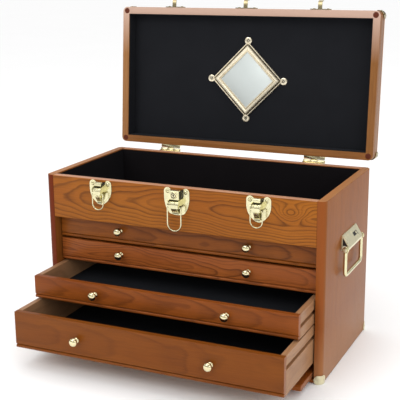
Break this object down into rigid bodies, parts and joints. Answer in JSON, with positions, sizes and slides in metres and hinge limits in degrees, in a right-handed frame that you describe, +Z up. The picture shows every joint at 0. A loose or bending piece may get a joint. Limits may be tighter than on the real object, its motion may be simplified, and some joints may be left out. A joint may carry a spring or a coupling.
{
  "type": "jewelry box",
  "caption": "Wooden keepsake chest with a hinged mirror lid, lined top tray, sliding drawers, a front cover board stored under them, draw latches and side drop handles.",
  "frame": {"origin": "middle of the case's wooden underside, level with the faces of its boards; the brass corners stand a little below it", "axes": "+X to the chest's right seen from the front, -Y out of the front where the drawers pull out, +Z up"},
  "size_m": [0.5372, 0.4792, 0.5915],
  "materials": {
    "case_wood": "satin lacquer",
    "lid_wood": "satin lacquer",
    "figured_wood": "satin lacquer over strongly figured grain",
    "drawer_wood": "satin lacquer",
    "inner_wood": "bare sanded wood",
    "brass": "polished",
    "lining": "black felt",
    "mirror": "silvered glass"
  },
  "bodies": {
    "case": {"left_side": "case_wood", "right_side": "case_wood", "back_panel": "case_wood", "bottom_panel": "case_wood", "divider_panel": "inner_wood", "tray_front": "figured_wood", "tray_floor": "inner_wood", "tray_lining": "lining", "base_corner_front_left": "brass", "base_corner_front_right": "brass", "base_corner_back_left": "brass", "base_corner_back_right": "brass", "hinge_left_case_leaf": "brass", "hinge_right_case_leaf": "brass", "latch_left_base": "brass", "latch_middle_base": "brass", "latch_right_base": "brass", "handle_left_bracket": "brass", "handle_right_bracket": "brass"},
    "lid": {"lid_frame": "lid_wood", "lid_panel": "lid_wood", "lid_lining": "lining", "mirror_frame": "brass", "mirror_glass": "mirror", "hinge_left_lid_leaf": "brass", "hinge_right_lid_leaf": "brass", "catch_left": "brass", "catch_middle": "brass", "catch_right": "brass", "lid_corner_front_left": "brass", "lid_corner_front_right": "brass", "lid_corner_back_left": "brass", "lid_corner_back_right": "brass"},
    "drawer_1": {"drawer_1_front": "figured_wood", "drawer_1_box": "inner_wood", "drawer_1_knob_left": "brass", "drawer_1_knob_right": "brass"},
    "drawer_2": {"drawer_2_front": "figured_wood", "drawer_2_box": "inner_wood", "drawer_2_knob_left": "brass", "drawer_2_knob_right": "brass"},
    "drawer_3": {"drawer_3_front": "drawer_wood", "drawer_3_box": "inner_wood", "drawer_3_knob_left": "brass", "drawer_3_knob_right": "brass"},
    "drawer_4": {"drawer_4_front": "drawer_wood", "drawer_4_box": "inner_wood", "drawer_4_knob_left": "brass", "drawer_4_knob_right": "brass"},
    "cover": {"front_cover": "figured_wood"},
    "left_lever": {"latch_left_lever": "brass"},
    "left_loop": {"latch_left_loop": "brass"},
    "middle_lever": {"latch_middle_lever": "brass"},
    "middle_loop": {"latch_middle_loop": "brass"},
    "right_lever": {"latch_right_lever": "brass"},
    "right_loop": {"latch_right_loop": "brass"},
    "lock": {"lock_cylinder": "brass"},
    "left_bail": {"handle_left_bail": "brass"},
    "right_bail": {"handle_right_bail": "brass"}
  },
  "joints": [
    {"name": "lid_hinge", "type": "hinge", "parent": "case", "child": "lid", "pos_m": [0, 0.1407, 0.30325], "axis": [-1, 0, 0], "range_deg": [-94.7, 0]},
    {"name": "drawer_1_slide", "type": "slide", "parent": "case", "child": "drawer_1", "axis": [0, -1, 0], "range_m": [0, 0.18]},
    {"name": "drawer_2_slide", "type": "slide", "parent": "case", "child": "drawer_2", "axis": [0, -1, 0], "range_m": [0, 0.18]},
    {"name": "drawer_3_slide", "type": "slide", "parent": "case", "child": "drawer_3", "axis": [0, -1, 0], "range_m": [-0.091, 0.09]},
    {"name": "drawer_4_slide", "type": "slide", "parent": "case", "child": "drawer_4", "axis": [0, -1, 0], "range_m": [-0.154, 0.026]},
    {"name": "cover_slide", "type": "slide", "parent": "case", "child": "cover", "axis": [0, -1, 0], "range_m": [-0.056, 0.13]},
    {"name": "left_lever_hinge", "type": "hinge", "parent": "case", "child": "left_lever", "pos_m": [-0.144, -0.144, 0.288], "axis": [-1, 0, 0], "range_deg": [0, 130]},
    {"name": "left_loop_hinge", "type": "hinge", "parent": "left_lever", "child": "left_loop", "pos_m": [-0.144, -0.1425, 0.2805], "axis": [1, 0, 0], "range_deg": [-180, 0]},
    {"name": "middle_lever_hinge", "type": "hinge", "parent": "case", "child": "middle_lever", "pos_m": [0, -0.144, 0.279], "axis": [-1, 0, 0], "range_deg": [0, 130]},
    {"name": "middle_loop_hinge", "type": "hinge", "parent": "middle_lever", "child": "middle_loop", "pos_m": [0, -0.1425, 0.2715], "axis": [1, 0, 0], "range_deg": [-180, 0]},
    {"name": "right_lever_hinge", "type": "hinge", "parent": "case", "child": "right_lever", "pos_m": [0.144, -0.144, 0.288], "axis": [-1, 0, 0], "range_deg": [0, 130]},
    {"name": "right_loop_hinge", "type": "hinge", "parent": "right_lever", "child": "right_loop", "pos_m": [0.144, -0.1425, 0.2805], "axis": [1, 0, 0], "range_deg": [-180, 0]},
    {"name": "key_turn", "type": "hinge", "parent": "case", "child": "lock", "pos_m": [0, -0.14, 0.2917], "axis": [0, -1, 0], "range_deg": [0, 90]},
    {"name": "right_bail_hinge", "type": "hinge", "parent": "case", "child": "right_bail", "pos_m": [0.263, 0, 0.203], "axis": [0, -1, 0], "range_deg": [0, 90]},
    {"name": "left_bail_hinge", "type": "hinge", "parent": "case", "child": "left_bail", "pos_m": [-0.263, 0, 0.203], "axis": [0, 1, 0], "range_deg": [0, 90]}
  ]
}
